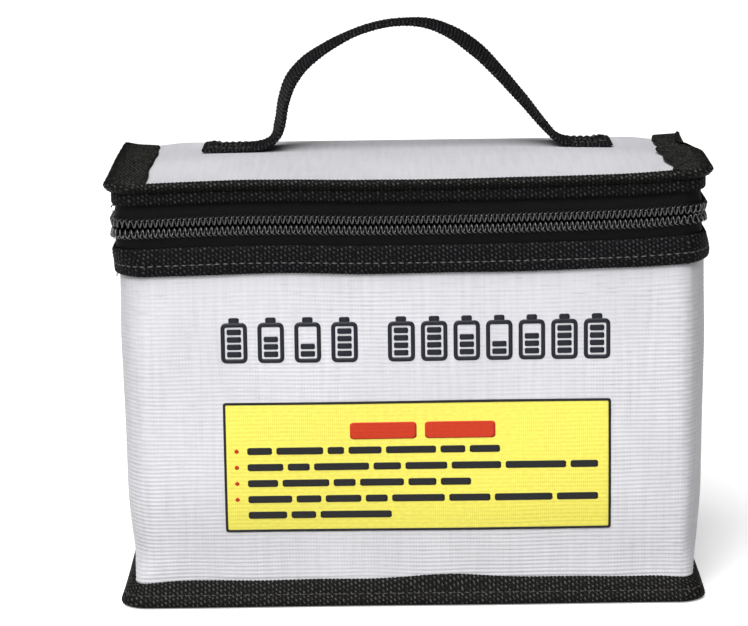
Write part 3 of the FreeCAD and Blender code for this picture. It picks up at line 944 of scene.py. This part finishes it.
def make_zip_tapes():
    """The thin tapes that carry the coils. They bow out towards the teeth."""
    stations = steps(-S_ZIP, S_ZIP, 1.4)
    low = [(0.0, LAP), (TAPE, LAP), (TAPE, 136.0), (TAPE + 0.1, SPLIT - 0.7), (0.1, SPLIT - 0.7),
           (0.0, 136.0)]
    high = [(0.1, SPLIT + 0.7), (TAPE + 0.1, SPLIT + 0.7), (TAPE, 145.0), (TAPE - 0.5, 148.7),
            (TAPE - 0.1, 150.0), (TAPE, LID_TOP), (0.0, LID_TOP), (-0.6, 148.7), (0.0, 145.0)]
    for name, section, body, node in (("zip_tape_lower", low, "bag_body", "lower_tape"),
                                      ("zip_tape_upper", high, "lid", "upper_tape")):
        piece = band(name, stations, section, ZIP_TAPE, "zip_tape", size=0.8)
        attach(piece, body)
        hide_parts(node)


def make_coil(name, node, side, body):
    """One row of teeth: a nylon helix whose loops reach just past the zip's centre line."""
    start = -S_ZIP + 1.0 + (TEETH / 2 if side > 0 else 0.0)
    turns = int((2 * S_ZIP - 3.0) / TEETH)
    angle = np.arange(turns * 12 + 1) * 2 * math.pi / 12
    s = start + TEETH * angle / (2 * math.pi)
    u = COIL_OUT + COIL_DEPTH * np.cos(angle)
    z = SPLIT + side * (COIL_OFF + COIL_RISE * np.sin(angle + 0.4))
    points = place(s, u, z)
    along = np.cross((0.0, 0.0, 1.0), wall_normal(s))
    piece = tubes(name, [(points, along)], COIL_R, COIL, "zip_coil", 7)
    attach(piece, body)
    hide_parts(node)
    foot = SPLIT + side * (COIL_OFF + 1.25)
    lines = []
    for k in range(turns):
        at = start + TEETH * (k + 0.4) + STITCH_ALONG
        points = place(at, COIL_OUT + STITCH_OUT, foot + side * STITCH_UP)
        lines.append((points, wall_normal(at)))
    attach(tubes(name + "_stitches", lines, 0.17, THREAD if side < 0 else DARK_THREAD, "black_thread"), body)


def finish_metal():
    """Materials and softened edges for the CAD's sliders, crowns and pulls."""
    for place_ in ("front", "rear"):
        for part, material in (("slider", DARK_METAL), ("crown", BRIGHT), ("pull", BRIGHT)):
            node = frame["nodes"][f"{place_}_{part}"]
            node.data.materials.clear()
            node.data.materials.append(material)
            weld = node.modifiers.new("weld", "WELD")
            weld.merge_threshold = 0.00001
            bevel = node.modifiers.new("edges", "BEVEL")
            bevel.width = 0.00014
            bevel.segments = 2
            bevel.limit_method = "ANGLE"
            bevel.angle_limit = math.radians(35)


# ---------------------------------------------------------------- handle


def spline(points, size):
    """A smooth curve through (x, z) points, sampled about size apart, and its distances."""
    points = np.array(points, float)
    points = np.concatenate([2 * points[:1] - points[1:2], points, 2 * points[-1:] - points[-2:-1]])
    out = []
    for a, b, c, d in zip(points[:-3], points[1:-2], points[2:-1], points[3:]):
        for t in np.linspace(0, 1, 24, endpoint=False):
            out.append(0.5 * (2 * b + (c - a) * t + (2 * a - 5 * b + 4 * c - d) * t * t
                              + (3 * b - a - 3 * c + d) * t ** 3))
    out.append(points[-2])
    out = np.array(out)
    run = run_along(out)
    at = steps(0, run[-1], size)
    return sample(out, run, at), at


def tab_height(x):
    """Height of the strap's middle where it is sewn flat on the lid."""
    return lid_height(np.asarray(x, float), STRAP_Y) + STRAP_T / 2 + 0.1


def make_handle():
    """The carry strap: two sewn feet and an arch whose rear edge leans outwards."""
    feet = [[(side * x, float(tab_height(side * x))) for x in (TAB_OUT, 69.0, 64.0)] for side in (-1, 1)]
    line, run = spline(feet[0] + STRAP_LINE + feet[1][::-1], WALE / 4)
    along = unit(np.gradient(line, axis=0))
    outer = np.stack([-along[:, 1], along[:, 0]], -1)
    lean = strap_lean(line[:, 0]) * smooth((line[:, 1] - 158) / 8)
    angle = np.arcsin(np.clip(lean / STRAP_W, -0.4, 0.4))
    half_w, half_t = STRAP_W / 2, STRAP_T / 2
    section = [(half_t, -half_w + 0.3), (half_t, half_w - 0.3), (half_t - 0.3, half_w),
               (-half_t + 0.3, half_w), (-half_t, half_w - 0.3), (-half_t, -half_w + 0.3),
               (-half_t + 0.3, -half_w), (half_t - 0.3, -half_w)]
    loop, normals, length = dense_loop(section, 0.7)
    r, w, t = loop[:, None, 0], loop[:, None, 1], length[:, None]
    way = run[None, :]
    selvedge = smooth((np.abs(w) - half_w + 1.6) / 0.5)
    high = rib_relief(way, t, 0.22) * (1 - selvedge) + lump_relief(way, t, 0.32) * selvedge
    saw = 0.28 * np.sin(math.pi * way / WALE) ** 2 * np.sign(w) * smooth((np.abs(w) - half_w + 0.7) / 0.6)
    r2 = r + normals[:, None, 0] * high
    w2 = w + normals[:, None, 1] * high + saw
    cos, sin = np.cos(angle)[None, :], np.sin(angle)[None, :]
    across = w2 * cos - r2 * sin
    proud = r2 * cos + w2 * sin
    points = np.stack([line[None, :, 0] + outer[None, :, 0] * proud, STRAP_Y + across,
                       line[None, :, 1] + outer[None, :, 1] * proud], -1)
    rows, cols = points.shape[:2]
    faces = grid_faces(rows, cols, wrap_rows=True) + end_faces(rows, cols)
    piece = make_piece("carry_strap", points, faces, together(way, t), WEBBING, "black_webbing")
    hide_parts("handle_strap", "handle_root_left", "handle_root_right", "handle_tab_left",
                "handle_tab_right")
    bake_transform(piece)


def make_tab_folds():
    """The strap's ends, folded under and seen as a second thickness, and the box of stitches on top."""
    half_w = STRAP_W / 2 - 0.5
    for side, name in ((-1, "left"), (1, "right")):
        x = steps(TAB_OUT - 6.0, TAB_OUT + 0.9, 0.5)
        y = steps(STRAP_Y - half_w, STRAP_Y + half_w, WALE / 3)
        gx, gy = np.meshgrid(side * x, y)
        edge = smooth((TAB_OUT + 0.9 - np.abs(gx)) / 0.9) * smooth((np.abs(gx) - TAB_OUT + 6.0) / 1.2)
        gz = tab_height(gx) + 0.3 + 0.9 * edge + rib_relief(gy, gx, 0.14)
        points = np.stack([gx, gy, gz], -1)
        if side < 0:
            points = points[:, ::-1]
        fold = grid_piece(f"tab_fold_{name}", points, np.stack([gy, gx], -1), WEBBING, "black_webbing", 1.1)
        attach(fold, "lid")
        low, high = extent(f"handle_stitching_{name}")
        box = [(low[0], low[1]), (high[0], low[1]), (high[0], high[1]), (low[0], high[1]), (low[0], low[1]),
               (high[0], high[1]), (high[0], low[1]), (low[0], high[1])]
        path = np.concatenate([np.linspace(a, b, 30, endpoint=False) for a, b in zip(box[:-1], box[1:])])
        above = np.abs(path[:, 0]) > TAB_OUT - 5.6
        z = tab_height(path[:, 0]) + STRAP_T / 2 + 0.12 + 0.55 * above
        line = np.column_stack([path, z])
        outward = np.tile((0.0, 0.0, 1.0), (len(line), 1))
        piece = stitches(f"tab_stitches_{name}", line, outward, DARK_THREAD, 1.8, 0.7)
        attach(piece, "lid")
        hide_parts(f"handle_stitching_{name}")


# ---------------------------------------------------------------- label and prints


def front_points(x, z, out):
    """Points on the front cloth, out above its ribs, which show through a little."""
    return place(x, out + RIB_HEIGHT * 0.6 + ribs(x, z) * 0.4 + creases(x, z), z)


def print_bar(x, z, radius, out):
    """A printed bar with rounded corners as a grid of points, its faces and its weave."""
    rows = steps(z[0], z[1], RIB / 4)
    cols = np.linspace(0, 1, max(3, int((x[1] - x[0]) / 1.2) + 1))
    near = np.minimum(rows - z[0], z[1] - rows)
    cut = radius - np.sqrt(np.clip(radius ** 2 - np.clip(radius - near, 0, radius) ** 2, 0, None))
    gx = (x[0] + cut)[:, None] * (1 - cols) + (x[1] - cut)[:, None] * cols
    gz = np.broadcast_to(rows[:, None], gx.shape)
    return front_points(gx, gz, out), grid_faces(*gx.shape), np.stack([gx, gz], -1)


def print_ring(x, z, radius, edge, out):
    """A printed outline with rounded corners."""
    ring = []
    for inset, r in ((0.0, radius), (edge, max(radius - edge, 0.15))):
        x0, x1, z0, z1 = x[0] + inset, x[1] - inset, z[0] + inset, z[1] - inset
        line = []
        corners = ((x1 - r, z0 + r, -90), (x1 - r, z1 - r, 0), (x0 + r, z1 - r, 90), (x0 + r, z0 + r, 180))
        for cx, cz, turn in corners:
            for k in range(5):
                a = math.radians(turn + 90 * k / 4)
                line.append((cx + r * math.cos(a), cz + r * math.sin(a)))
        line = np.array(line + line[:1])
        run = run_along(line)
        count = 4 * int((x[1] - x[0] + z[1] - z[0]) / 1.4)
        at = np.linspace(0, 1, count, endpoint=False)
        ring.append(sample(line, run, at * run[-1]))
    middle = (ring[0] + ring[1]) / 2
    grid = np.stack([ring[1], middle, ring[0]])
    gx, gz = grid[..., 0], grid[..., 1]
    faces = [face[::-1] for face in grid_faces(*gx.shape, wrap_cols=True)]
    return front_points(gx, gz, out), faces, grid


def join_prints(name, parts, material, slot, node, thickness=0.2):
    """Several printed shapes as one piece."""
    piece = make_piece(name, *joined(parts), material, slot, thickness)
    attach(piece, "bag_body")
    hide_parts(node)


def words(start, widths, z, gap, radius, out):
    """Plain bars that stand for a line of words."""
    bars = []
    x = start
    for width in widths:
        bars.append(print_bar((x, x + width), z, radius, out))
        x += width + gap
    return bars


def make_label():
    """The label: yellow ground, thin black edge, red heading bars and bullets, dark word bars."""
    x, z = (LABEL_LOW[0], LABEL_HIGH[0]), (LABEL_LOW[2], LABEL_HIGH[2])
    out = PRINT_OUT * 2
    inside = [(a + LABEL_EDGE * 0.5, b - LABEL_EDGE * 0.5) for a, b in (x, z)]
    join_prints("label_ground", [print_bar(*inside, 0.8, PRINT_OUT)], YELLOW, "label_yellow", "label_patch")
    join_prints("label_edge", [print_ring(x, z, LABEL_CORNER, LABEL_EDGE, out)], BLACK_INK, "label_black",
                "label_border")
    top = z[1]
    heading_z = [top - drop for drop in HEADING_DROP]
    heading = words(HEADING_START, HEADING_WIDTHS, heading_z, HEADING_GAP, HEADING_CORNER, out)
    lines = []
    for row, widths in enumerate(WORD_LINES):
        line_top = top - LINES_DROP - row * LINE_PITCH
        lines += words(LINES_START, widths, (line_top - LINE_H, line_top), WORD_GAP, WORD_CORNER, out)
        if row < BULLET_LINES:
            middle = line_top - LINE_H / 2
            heading.append(print_bar((BULLET_X - BULLET_R, BULLET_X + BULLET_R),
                                     (middle - BULLET_R, middle + BULLET_R), BULLET_R, out))
    join_prints("label_heading_print", heading, RED_INK, "label_red", "label_heading")
    join_prints("label_line_prints", lines, BLACK_INK, "label_black", "label_lines")


def make_symbols():
    """Two groups of battery-cell signs above the label."""
    low, high = SYMBOL_LOW[2], SYMBOL_HIGH[2]
    can_top = high - SYMBOL_NUB
    room = (can_top - low - 2 * SYMBOL_EDGE - BAR_GAP) / 4
    inset = SYMBOL_EDGE + BAR_GAP
    shapes = []
    for start, pitch, charges in SYMBOL_GROUPS:
        for i, bars in enumerate(charges):
            x = start + i * pitch
            nub = (x + SYMBOL_W * 0.3, x + SYMBOL_W * 0.7)
            shapes.append(print_ring((x, x + SYMBOL_W), (low, can_top), 1.9, SYMBOL_EDGE, PRINT_OUT))
            shapes.append(print_bar(nub, (can_top - 0.2, high), 0.6, PRINT_OUT))
            for k in range(bars):
                z = low + SYMBOL_EDGE + k * room + BAR_GAP
                bar = (x + inset, x + SYMBOL_W - inset)
                shapes.append(print_bar(bar, (z, z + room - BAR_GAP), 0.4, PRINT_OUT))
    join_prints("front_symbol_prints", shapes, DARK_INK, "dark_print", "front_symbols")


# ---------------------------------------------------------------- studio


def look(thing, spot, target=(0.0, 0.0, 0.08)):
    """Puts a light at spot, turned towards target."""
    thing.location = spot
    thing.rotation_euler = (Vector(target) - Vector(spot)).to_track_quat("-Z", "Y").to_euler()
    bpy.context.scene.collection.objects.link(thing)


def make_lights():
    """An even overhead light, a soft box in front and a dim surround that is darker behind the bag."""
    sun = bpy.data.lights.new("overhead", "SUN")
    sun.energy = OVERHEAD
    sun.angle = math.radians(50)
    look(bpy.data.objects.new("overhead", sun), (-0.35, -0.75, 1.6))
    box = bpy.data.lights.new("front_box", "AREA")
    box.shape = "RECTANGLE"
    box.size, box.size_y = 1.1, 0.7
    box.energy = FRONT_BOX
    look(bpy.data.objects.new("front_box", box), (-0.25, -1.25, 1.0), (0.0, 0.0, 0.13))
    world = bpy.data.worlds.new("studio")
    world.use_nodes = True
    tree = world.node_tree
    direction = tree.nodes.new("ShaderNodeTexCoord").outputs["Generated"]
    split = tree.nodes.new("ShaderNodeSeparateXYZ")
    tree.links.new(direction, split.inputs[0])
    ramp = tree.nodes.new("ShaderNodeMapRange")
    ramp.inputs["From Min"].default_value = 1.0
    ramp.inputs["From Max"].default_value = -1.0
    ramp.inputs["To Min"].default_value = SURROUND[0]
    ramp.inputs["To Max"].default_value = SURROUND[1]
    tree.links.new(split.outputs["Y"], ramp.inputs["Value"])
    tree.links.new(ramp.outputs[0], tree.nodes["Background"].inputs[1])
    bpy.context.scene.world = world


def make_studio():
    """Pale floor, which isn't part of the bag, and soft light."""
    x, y = np.meshgrid(np.linspace(-20, 20, 21), np.linspace(-20, 20, 21))
    points = np.stack([x, y, 0 * x - 0.0002], -1) / MM
    floor = grid_piece("studio_floor", points, np.stack([x, y], -1), studio_floor("studio_floor"), None)
    floor.visible_diffuse = False
    make_lights()
    bpy.context.scene.view_settings.view_transform = "Standard"


def make_camera():
    """A long lens well in front of the bag, looking a little down on it."""
    tilt, heading, roll = 0.1933, -0.0084, -0.0145
    level = math.cos(tilt)
    forward = Vector((math.sin(heading) * level, math.cos(heading) * level, -math.sin(tilt)))
    right = forward.cross(Vector((0, 0, 1))).normalized()
    up = right.cross(forward)
    turned_right = right * math.cos(roll) + up * math.sin(roll)
    turned_up = up * math.cos(roll) - right * math.sin(roll)
    data = bpy.data.cameras.new("camera")
    data.lens = 152.7
    data.sensor_width = 36.0
    camera = bpy.data.objects.new("camera", data)
    camera.matrix_world = Matrix.Translation((-0.0034, -1.1777, 0.329)) @ Matrix(
        (turned_right, turned_up, -forward)).transposed().to_4x4()
    bpy.context.scene.collection.objects.link(camera)
    bpy.context.scene.camera = camera


make_wrap()
make_back_and_lid()
make_linings()
make_base_binding()
make_side_bindings()
make_lower_webbing()
make_upper_webbing()
make_rim_binding()
make_zip_tapes()
make_coil("coil_lower", "lower_coil", -1, "bag_body")
make_coil("coil_upper", "upper_coil", 1, "lid")
finish_metal()
make_handle()
make_tab_folds()
make_label()
make_symbols()
make_studio()
make_camera()
